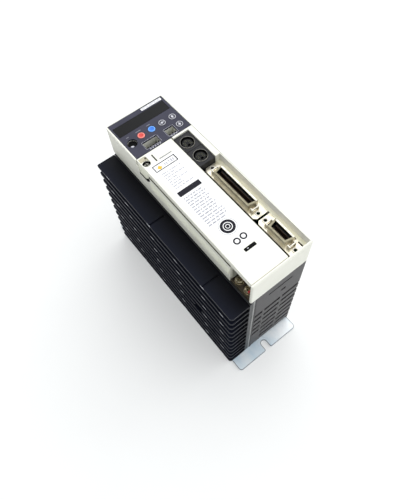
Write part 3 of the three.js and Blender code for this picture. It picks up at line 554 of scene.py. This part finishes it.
def cover_label():
    """The cover's paper: a boxed strip, lines of plain dashes, a banner, a disc and two rings."""
    rng = random.Random(7)
    paper, top = FRONT + 0.06, FRONT + 0.09
    sheet = Shape().block(3.4, 22.9, 23.2, 104.0, FRONT - 0.05, paper, 0, corner=0.8)
    z0 = paper - 0.03
    sheet.ring(rectangle(4.7, 21.85, 97.2, 102.8, 0.5),
               rectangle(5.25, 21.1, 97.75, 102.2, 0.3), z0, top, 1)
    sheet.prism([(6.9, 99.5), (8.7, 97.8), (10.5, 99.3), (8.7, 101.1)], z0, top, 3)
    for x0, x1, y0, y1 in ((12.4, 13.3, 98.8, 100.9), (13.8, 14.7, 98.8, 100.9),
                           (15.6, 16.5, 99.8, 101.0), (15.9, 16.8, 98.6, 99.4),
                           (17.4, 18.4, 98.5, 101.1), (18.9, 19.8, 98.7, 101.0)):
        sheet.block(x0, x1, y0, y1, z0, top, 4, corner=0.3)
    for y in (94.0, 92.0, 90.0, 88.0, 86.0, 84.0, 82.0, 79.9):
        for a, b in words(rng, 6.5, rng.choice((14.5, 18.5, 20.8, 21.0))):
            sheet.block(a, b, y - 0.35, y + 0.35, z0, top, 4)
    sheet.block(5.2, 21.9, 72.9, 76.9, z0, top, 1, corner=0.5)
    y = 70.6
    while y > 46:
        for a, b in words(rng, 5.9, rng.choice((15.5, 18.6, 19.4, 20.6, 21.2))):
            sheet.block(a, b, y - 0.42, y + 0.42, z0, top, 5)
        y -= 2.05
    disc_x, disc_y = 14.4, 39.0
    sheet.prism(circle(disc_x, disc_y, 4.75), z0, top, 1)
    for outer, inner, height, tint in ((5.75, 5.55, top, 2), (3.0, 2.5, top + 0.02, 0),
                                       (1.5, 1.1, top + 0.02, 0)):
        sheet.ring(circle(disc_x, disc_y, outer), circle(disc_x, disc_y, inner), z0, height, tint)
    for x, ring_y in ((12.2, 28.0), (17.4, 28.4)):
        sheet.ring(circle(x, ring_y, 2.3), circle(x, ring_y, 1.35), z0, top, 1)
    sheet.make("cover_label", COVER,
               [LABEL, DARK_PRINT, GREY_PRINT, YELLOW_PRINT, FAINT_PRINT, MID_PRINT])


def cover_lines():
    """The two lines moulded in the cover, filled with painted shade, and a black sheet of painted
    shade over the lamp slot with a white dash on it, a painted highlight.
    """
    lines = Shape().block(9.95, 10.9, 104.9, 111.3, FRONT - 1.1, FRONT + 0.015, 0, corner=0.3)
    lines.block(12.6, 22.2, 105.0, 105.65, FRONT - 1.1, FRONT + 0.015, 1, corner=0.3)
    # Painted shade over the lamp slot, and a white dash on it as a painted highlight.
    lines.block(11.6, 19.95, 19.3, 21.7, FRONT - 1.5, FRONT + 0.03, 2, corner=0.5)
    lines.block(13.6, 14.7, 20.4, 20.8, FRONT - 0.5, FRONT + 0.05, 3, corner=0.15)
    lines.make("cover_lines", COVER, [SLIT_SHADE, GREY_PRINT, BLACK_AND_SHADE, WHITE_PRINT])


def cross_head(name, node, body, x, y, seat, radius, height, material, shank, washer=None):
    """A pan head with a cross recess, on its shank and, where there is one, a washer."""
    low, high = extent(node)
    top = seat + height
    profile = [(0, low.z), (shank, low.z), (shank, seat - 0.02)]
    if washer:
        profile += [(washer, seat - 0.02), (washer, seat + 0.5), (washer - 0.12, seat + 0.6),
                    (radius - 0.15, seat + 0.6)]
    profile += [(radius, seat + (0.75 if washer else 0.02)), (radius, top - height * 0.45),
                (radius * 0.93, top - height * 0.2), (radius * 0.72, top - 0.05),
                (radius * 0.4, top), (0, top)]
    head = Shape().lathe(x, y, profile, 0, sides=48)
    screw = head.make(name, body, [material], [node], "steel_fastener")
    arm, wide, deep = radius * 0.62, radius * 0.17, min(1.5, height * 0.6)
    cutter = Shape()
    for long_x in (True, False):
        half_x, half_y = (arm, wide) if long_x else (wide, arm)
        rings = [[(x + sx * half_x * s, y + sy * half_y * (s if not long_x else 1), z)
                  for sx, sy in ((-1, -1), (1, -1), (1, 1), (-1, 1))]
                 for s, z in ((0.55, top - deep), (1.08, top + 0.3))]
        cutter.loft(rings)
    carve(screw, cutter)


def cover_corner():
    """The ramp beside the screw in painted shade, the screw's well wall in black painted shade and
    the finger tab's face in painted light.
    """
    x, y = middle("cover_screw")
    floor_z = 128.8
    ramp = [(1.25, 113.25, 129.85), (1.25, 110.4, 129.2), (2.6, 110.75, 129.1),
            (4.0, 110.85, 129.1), (5.3, 110.55, 129.1), (6.75, 109.6, 129.2),
            (6.75, 112.1, 129.6), (6.1, 113.25, 129.85)]
    corner = Shape().loft([[(px, py, floor_z) for px, py, _ in ramp], ramp])
    corner.lathe(5.9, 111.9, [(0, 129.0), (0.55, 129.0), (0.5, 129.85), (0, 129.9)], 1, sides=16)
    corner.lathe(x, y, [(2.88, 124.62), (2.88, 128.85), (2.62, 128.85), (2.62, 124.62)], 1,
                 sides=48, closed=True)
    tab = {0.74: [(111.9, 129.2), (101.3, 129.2), (101.3, 123.0), (104.8, 119.5), (111.9, 119.5)],
           0.35: [(111.7, 128.2), (101.6, 128.2), (101.6, 123.1), (104.95, 119.8), (111.7, 119.8)],
           0.1: [(111.3, 127.0), (102.0, 127.0), (102.0, 123.3), (105.2, 120.2), (111.3, 120.2)]}
    corner.loft([[(depth, py, pz) for py, pz in outline] for depth, outline in tab.items()], 2)
    corner.make("cover_corner", COVER, [SHADED_BEIGE, BLACK_AND_SHADE, LIT_BEIGE])


def tab_slot():
    """The dark depth of the slot in the side wall round the finger tab."""
    outline = [(112.35, 118.25), (112.35, 119.2), (104.7, 119.2), (100.95, 122.95), (100.95, 125.0),
               (100.05, 125.0), (100.05, 121.85), (103.6, 118.25)]
    slot = Shape().loft([[(x, y, z) for y, z in outline] for x in (0.03, 1.9)])
    slot.make("tab_slot_shadow", HOUSING, [BLACK_AND_SHADE])


def wall_rail():
    """The rounded rail along the side wall below the cover, lightened as painted light, and the
    dark gap above it as painted shade.
    """
    section = [(0.1, 122.4), (-0.25, 121.6), (-0.75, 117.4), (-0.8, 116.2), (-0.7, 115.4),
               (0.1, 114.9)]
    rail = Shape().loft([[(x, y, z) for x, z in section] for y in (20.1, 99.2)], 0)
    rail.block(0.06, 0.66, 19.6, 99.8, 125.1, 125.42, 1)
    rail.make("wall_rail", HOUSING, [LIT_BEIGE, GAP_SHADE], edge=0.15)


cover_label()
cover_lines()
cover_corner()
tab_slot()
wall_rail()
cross_head("cover_screw_head", "cover_screw", COVER, *middle("cover_screw"), 124.9, 2.5, 3.0,
           DARK_STEEL, 1.2)
for number in (1, 2):
    screw = f"earth_screw_{number}"
    cross_head(f"earth_screw_head_{number}", screw, HOUSING, *middle(screw),
               extent("earth_bar")[1].z - 0.8, 2.8, 2.8, BRASS, 1.6, washer=3.15)


# ---- Sockets ----


CONTACT_ANGLES = (-28, 28, 90, 152, 208)


def round_socket(number):
    """A round socket's thin plated shield and its core, with a sleeve in each contact hole. The
    shield's inner wall and floor are black, painted shade.
    """
    x, y = middle(f"din_shield_{number}")
    low, high = extent(f"din_shield_{number}")
    top = high.z
    profile = [(0, low.z), (4.95, low.z), (4.95, top - 0.12), (4.88, top), (4.74, top),
               (4.68, top - 0.15), (4.55, low.z + 0.5), (0, low.z + 0.5)]
    # Inside the shield: black, painted shade.
    shield = Shape().lathe(x, y, profile, [0, 0, 1, 1, 1, 2, 2], sides=56)
    shield.make(f"din_ring_{number}", HOUSING, [NICKEL, DULL_RIM, BLACK_AND_SHADE],
                [f"din_shield_{number}"], "nickel_shell")
    core_low, core_high = extent(f"din_core_{number}")
    core_top = core_high.z
    core = Shape().lathe(x, y, [(0, core_low.z), (3.7, core_low.z), (3.7, core_top - 0.2),
                                (3.5, core_top), (0, core_top)], 0, sides=48)
    core.block(x - 4.5, x - 3.4, y - 1.9, y - 0.6, low.z + 0.5, core_top - 0.2, 0)
    piece = core.make(f"din_insulator_{number}", HOUSING, [SMOKE], [f"din_core_{number}"],
                      "black_plastic")
    cutter = Shape().block(x - 0.95, x + 0.95, y - 2.7, y - 1.1, core_top - 3, core_top + 1)
    sleeves, bore, wall, pitch_radius = Shape(), 0.42, 0.66, 2.05
    for angle in map(math.radians, CONTACT_ANGLES):
        at = x + pitch_radius * math.cos(angle), y + pitch_radius * math.sin(angle)
        cutter.lathe(*at, [(0, core_top - 4), (bore, core_top - 4), (bore, core_top + 1),
                           (0, core_top + 1)], 0, sides=16)
        sleeves.lathe(*at, [(bore, core_top - 0.5), (wall, core_top - 0.5), (wall, core_top + 0.05),
                            (bore, core_top + 0.05)], 0, sides=20, closed=True)
    carve(piece, cutter)
    sleeves.block(x + 2.9, x + 3.4, y - 2.1, y - 1.6, core_top - 0.3, core_top + 0.06, 0)
    sleeves.make(f"din_sleeves_{number}", HOUSING, [GAP_SHADE])


round_socket(1)
round_socket(2)


SOCKET_X, SOCKET_HALF, SOCKET_WALL, SOCKET_TAPER = 36.6, 2.45, 1.2, 1.1
CONNECTORS = {"io": {"opening": 32.8, "hole": 22.3}, "encoder": {"opening": 14.4, "hole": 13.1}}


def socket_outline(centre_y, length, margin):
    """The tapered outline of a board connector's socket, as the CAD draws it."""
    half, wide = length / 2 + margin, SOCKET_HALF + margin
    return [(SOCKET_X - wide, centre_y - half + SOCKET_TAPER), (SOCKET_X + wide, centre_y - half),
            (SOCKET_X + wide, centre_y + half), (SOCKET_X - wide, centre_y + half - SOCKET_TAPER)]


def board_connector(kind, contacts):
    """A board connector's khaki rim darkened as painted shade, a black liner as painted shade
    inside the socket, contact rows, end latches and screw seats.
    """
    low, high = extent(f"{kind}_connector_shell")
    insert_high = extent(f"{kind}_connector_insert")[1]
    centre = (low.y + high.y) / 2
    opening, hole = CONNECTORS[kind]["opening"], CONNECTORS[kind]["hole"]
    top, flange = high.z, 124.0
    parts = Shape()
    # The shell's khaki rim, darkened as painted shade.
    parts.ring(socket_outline(centre, opening, SOCKET_WALL + 0.04),
               socket_outline(centre, opening, -0.04), top - 0.3, top + 0.05, 5)
    right = SOCKET_X + SOCKET_HALF
    parts.block(right + 0.1, right + SOCKET_WALL + 0.02, centre - opening / 2 - 0.6,
                centre + opening / 2 + 0.6, top - 0.2, top + 0.12, 0, corner=0.3)
    # A black liner inside the socket: painted shade.
    parts.ring(socket_outline(centre, opening, 0.06), socket_outline(centre, opening, -0.3),
               flange + 0.55, top - 0.15, 1)
    tongue_top = insert_high.z + 2.2
    half = opening / 2 - 1.5
    for side in (-1, 1):
        x = SOCKET_X + side * 1.8
        parts.block(x - 0.3, x + 0.3, centre - half, centre + half, insert_high.z - 0.1,
                    tongue_top + 0.6, 2)
    pitch = 2 * half / contacts
    for side in (-1, 1):
        for way in range(contacts):
            y = centre - half + pitch * (way + 0.5)
            x = SOCKET_X + side * 1.3
            parts.block(x - 0.28, x + 0.28, y - pitch * 0.24, y + pitch * 0.24, insert_high.z - 1.5,
                        tongue_top + 0.4, 3)
    for end in (-1, 1):
        wall = centre + end * (opening / 2 + SOCKET_WALL)

        def latch(x0, x1, near, far, z0, z1, tint):
            y0, y1 = sorted((wall + end * near, wall + end * far))
            parts.block(x0, x1, y0, y1, flange + z0, flange + z1, tint, corner=0.15)

        latch(SOCKET_X - 2.7, SOCKET_X + 2.7, 0.1, 2.5, -0.1, 0.6, 4)
        latch(SOCKET_X - 1.8, SOCKET_X + 1.8, 0.5, 1.5, 0.5, 0.65, 1)
        for side in (-1, 1):
            x = SOCKET_X + side * 2.35
            latch(x - 0.35, x + 0.35, 0.15, 2.5, 0.5, 2.9, 0)
        latch(SOCKET_X - 2.9, SOCKET_X + 2.9, 1.5, 2.2, 2.4, 3.1, 0)
    for end in (-1, 1):
        y = centre + end * hole
        seat = [(1.2, flange - 1.0), (1.95, flange - 0.02), (1.95, flange + 0.22),
                (1.75, flange + 0.35), (1.2, flange + 0.3)]
        parts.lathe(SOCKET_X, y, seat, 0, sides=32, closed=True)
    parts.make(f"{kind}_connector_fittings", HOUSING,
               [BRIGHT, BLACK_AND_SHADE, PLASTIC, PIN_ROW, BRASS, SHADED_RIM])


board_connector("io", 25)
board_connector("encoder", 10)


# ---- Terminals under the cover ----


def terminal_metal(node, name, ways):
    """A clamp screw in each wire entry and a sprung lever in each release slot."""
    low, high = extent(node)
    pitch = (high.y - low.y) / ways
    metal = Shape()
    for way in range(ways):
        y = low.y + pitch * (way + 0.5)
        seat = high.z - 6
        metal.lathe(11.7, y, [(0, seat + 0.02), (1.45, seat + 0.02), (1.45, seat + 0.9),
                              (1.2, seat + 1.2), (0, seat + 1.2)], 0, sides=24)
        # A black bar across each clamp screw: painted shade for its slot.
        metal.block(10.6, 12.8, y - 0.16, y + 0.16, seat + 1.1, seat + 1.24, 1)
        metal.block(16.15, 20.45, y - 0.95, y + 0.95, high.z - 2.98, high.z - 1.9, 0, corner=0.3)
        metal.block(19.0, 20.2, y - 0.6, y + 0.6, high.z - 2.0, high.z - 0.4, 2, corner=0.2)
    metal.make(name, HOUSING, [STEEL, BLACK_AND_SHADE, YELLOW_PRINT])


terminal_metal("mains_terminal_block", "mains_terminal_metal", 5)
terminal_metal("motor_terminal_block", "motor_terminal_metal", 6)


# ---- Heat sink ----


FIN_COUNT, FIN_PITCH, FIN_THICK = 12, 8.9, 2.4
MARKS_EVEN, MARKS_ODD, MARK_HALF = (28.3, 86.0, 136.0), (9.7, 57.3, 115.3), 1.9


def rack_marks():
    """Bare contact spots on the fin edges, at places that alternate from fin to fin."""
    low, high = extent("heat_sink")
    left, face = low.x, high.z
    marks = Shape()
    for fin in range(FIN_COUNT):
        z = face - fin * FIN_PITCH - FIN_THICK / 2
        for y in MARKS_ODD if fin % 2 else MARKS_EVEN:
            marks.block(left - 0.03, left + 0.1, y - MARK_HALF, y + MARK_HALF, z - 0.55, z + 0.55)
    marks.make("rack_marks", HOUSING, [RACK])


rack_marks()


def paint_dab():
    """The inspector's red paint across the lower earth screw and the bar."""
    x, y = middle("earth_screw_2")
    seat = extent("earth_bar")[1].z - 1.1
    dab = Shape()
    rings = []
    for z, r in ((seat - 0.1, 1.0), (seat + 2.6, 1.0), (seat + 3.1, 0.72), (seat + 3.25, 0.3)):
        rings.append([(x - 1.0 + 1.1 * r * math.cos(a) * (1 + 0.12 * math.sin(3 * a)),
                       y - 1.3 + 1.0 * r * math.sin(a) * (1 + 0.1 * math.cos(2 * a)), z)
                      for a in (math.tau * i / 24 for i in range(24))])
    dab.loft(rings, 0, smooth=True)
    dab.make("earth_paint_mark", HOUSING, [PAINT_MARK])


paint_dab()


LOUVRE_ROWS, LOUVRE_PITCH, LOUVRE_TOP, LOUVRE_HALF = 7, 9.7, 71.6, 2.05
LONG_ROWS = 5


def vent_shadows():
    """The dark depth behind the casing's louvres, on both ends."""
    dark = Shape()
    for y0, y1 in ((0.9, 1.3), (BODY_LENGTH - 1.3, BODY_LENGTH - 0.9)):
        for row in range(LOUVRE_ROWS):
            z = LOUVRE_TOP - LOUVRE_PITCH * row
            slots = ((13.95, 28.05), (29.95, 46.0)) + (((5.45, 12.05),) if row < LONG_ROWS else ())
            for x0, x1 in slots:
                dark.block(x0, x1, y0, y1, z - LOUVRE_HALF, z + LOUVRE_HALF)
        dark.block(15.55, 35.15, y0, y1, 95.45, 97.35)
        dark.block(27.05, 30.95, y0, y1, 83.85, 87.15)
    dark.make("vent_shadow", HOUSING, [BLACK_AND_SHADE])


def plate_edges():
    """A darker strip along the edge of the plate's two flanges, round their corners and the screw
    notches.
    """
    low, high = extent("mounting_plate")
    corner, half, flare, depth, middle_x = 2.5, 2.6, 1.2, 8.1, 16.0
    tip, steps = low.y, 8

    def arc(x, y, radius, start, end):
        turns = [math.radians(start + (end - start) * i / steps) for i in range(steps + 1)]
        return [(x + radius * math.cos(a), y + radius * math.sin(a)) for a in turns]

    path = [(low.x, -0.2)] + arc(low.x + corner, tip + corner, corner, 180, 270)
    path += arc(middle_x - half - flare, tip + flare, flare, -90, 0)
    path += arc(middle_x, tip + depth - half, half, 180, 0)
    path += arc(middle_x + half + flare, tip + flare, flare, 180, 270)
    path += arc(high.x - corner, tip + corner, corner, -90, 0) + [(high.x, -0.2)]
    line = Shape()
    for mirrored in (False, True):
        rings = []
        for i, (x, y) in enumerate(path):
            before, after = path[max(i - 1, 0)], path[min(i + 1, len(path) - 1)]
            along = Vector((after[0] - before[0], after[1] - before[1])).normalized()
            inward = Vector((-along.y, along.x))
            ring = []
            for inset, z in ((-PROUD, 0.3), (-PROUD, high.z + PROUD), (0.38, high.z + PROUD),
                             (0.38, high.z - 0.3)):
                px, py = x + inward.x * inset, y + inward.y * inset
                ring.append((px, BODY_LENGTH - py if mirrored else py, z))
            rings.append(ring)
        line.loft(rings)
    line.make("plate_edge", HOUSING, [PLATE_EDGE])


def seams():
    """Fillers that close the gaps round the cover, in the socket block and at the ledge with
    painted shade, and that lay painted light on the ledge floor and the wall above it.
    """
    ledge = FRONT - 6
    fill = Shape().block(0.9, 27.9, 1.62, 1.96, FRONT - 3, FRONT - 0.5, 1)
    # Near white and cream sheets: painted light on the wall above the ledge and on the ledge floor.
    fill.block(44.9, 45.04, 1.65, 83.95, ledge + 0.05, FRONT - 0.3, 2)
    fill.block(42.4, 44.95, 1.65, 83.9, ledge - 0.05, ledge + 0.06, 3)
    for y0, y1 in ((2.9, 7.2), (9.3, 12.2)):
        fill.block(41.3, 42.15, y0, y1, ledge - 0.1, ledge + 0.15, 0)
    socket_top = extent("serial_port_block")[1].z
    fill.block(29.3, 41.0, 98.0, 98.35, socket_top - 0.1, socket_top + PROUD, 0)
    fill.make("seam_shade_and_ledge_light", HOUSING, [BLACK_AND_SHADE, SHADED_BEIGE, LABEL, LEDGE_LIGHT])


vent_shadows()
plate_edges()
seams()


# ---- Stage, light and camera ----


# Degrees of azimuth, elevation and roll, a lens in millimetres and a distance in metres.
VIEW_ANGLES, VIEW_LENS, VIEW_DISTANCE = (-33.506, 62.666, -5.315), 33.437448, 0.344714
VIEW_TARGET = place(13.952, 65.777, 60.0)


def make_camera():
    """The photograph's viewpoint, solved from the drive's own corners."""
    azimuth, elevation, roll = (math.radians(a) for a in VIEW_ANGLES)
    level = math.cos(elevation)
    back = Vector((math.sin(azimuth) * level, -math.cos(azimuth) * level, math.sin(elevation)))
    right = Vector((0, 0, 1)).cross(back).normalized()
    up = back.cross(right)
    turned_right = math.cos(roll) * right + math.sin(roll) * up
    turned_up = -math.sin(roll) * right + math.cos(roll) * up
    data = bpy.data.cameras.new("camera")
    data.sensor_width = 36.0
    data.lens = VIEW_LENS
    data.clip_start = 0.01
    data.clip_end = 20
    camera = bpy.data.objects.new("camera", data)
    bpy.context.scene.collection.objects.link(camera)
    turn = Matrix((turned_right, turned_up, back)).transposed().to_4x4()
    camera.matrix_world = Matrix.Translation(VIEW_TARGET + back * VIEW_DISTANCE) @ turn
    bpy.context.scene.camera = camera


def key_light(source, aim, size, power):
    """A soft disc of light that points from its source to its aim."""
    data = bpy.data.lights.new("key", "AREA")
    data.shape = "DISK"
    data.size = size
    data.energy = power
    light = bpy.data.objects.new("key", data)
    bpy.context.scene.collection.objects.link(light)
    light.location = source
    light.rotation_mode = "QUATERNION"
    light.rotation_quaternion = (Vector(source) - Vector(aim)).to_track_quat("Z", "Y")


FLOOR_HALF, FLOOR_DROP, FLOOR_GLOW = 6, 0.0002, 0.285


def paper_floor():
    """A wide sheet of white paper under the plate, with a faint glow of its own."""
    mesh = bpy.data.meshes.new("floor")
    shape = bmesh.new()
    bmesh.ops.create_grid(shape, x_segments=1, y_segments=1, size=FLOOR_HALF)
    shape.to_mesh(mesh)
    shape.free()
    floor = bpy.data.objects.new("floor", mesh)
    floor.location = (0, 0, cad_low.z - FLOOR_DROP)
    bpy.context.scene.collection.objects.link(floor)
    paper = Finish("floor_paper", (207, 208, 207), (211, 212, 211), 0.7, specular=0.2, patch=200,
                   grain=1)
    paper.shader.inputs["Emission Color"].default_value = (1, 1, 1, 1)
    paper.shader.inputs["Emission Strength"].default_value = FLOOR_GLOW
    mesh.materials.append(paper.material)


# The world's light from the far side, from the left (-X) side, and its share from the front (-Y).
BRIGHTNESS, DIM, FRONT_DIM = 1.62, 0.16, 0.5


def studio_world():
    """A white tent of light, dimmer from the drive's left (-X) side and from its front."""
    world = bpy.data.worlds.new("studio")
    world.use_nodes = True
    tree = world.node_tree
    background = tree.nodes["Background"]
    background.inputs["Color"].default_value = (0.97, 0.985, 1.0, 1)
    coords = tree.nodes.new("ShaderNodeTexCoord")
    axes = tree.nodes.new("ShaderNodeSeparateXYZ")
    tree.links.new(coords.outputs["Generated"], axes.inputs[0])

    def level(axis, near, far, at_near, at_far):
        """A value that goes from at_near to at_far as the direction goes from near to far."""
        node = tree.nodes.new("ShaderNodeMapRange")
        for socket, value in (("From Min", near), ("From Max", far), ("To Min", at_near),
                              ("To Max", at_far)):
            node.inputs[socket].default_value = value
        tree.links.new(axes.outputs[axis], node.inputs["Value"])
        return node.outputs["Result"]

    product = tree.nodes.new("ShaderNodeMath")
    product.operation = "MULTIPLY"
    tree.links.new(level(0, -0.9, 0.1, DIM, BRIGHTNESS), product.inputs[0])
    tree.links.new(level(1, -0.95, -0.2, FRONT_DIM, 1.0), product.inputs[1])
    tree.links.new(product.outputs[0], background.inputs["Strength"])
    bpy.context.scene.world = world


make_camera()
paper_floor()
studio_world()
key_light((0.8, 0.3, 1.2), (0, 0, 0.05), 1.5, 5)
bpy.context.scene.view_settings.view_transform = "Standard"
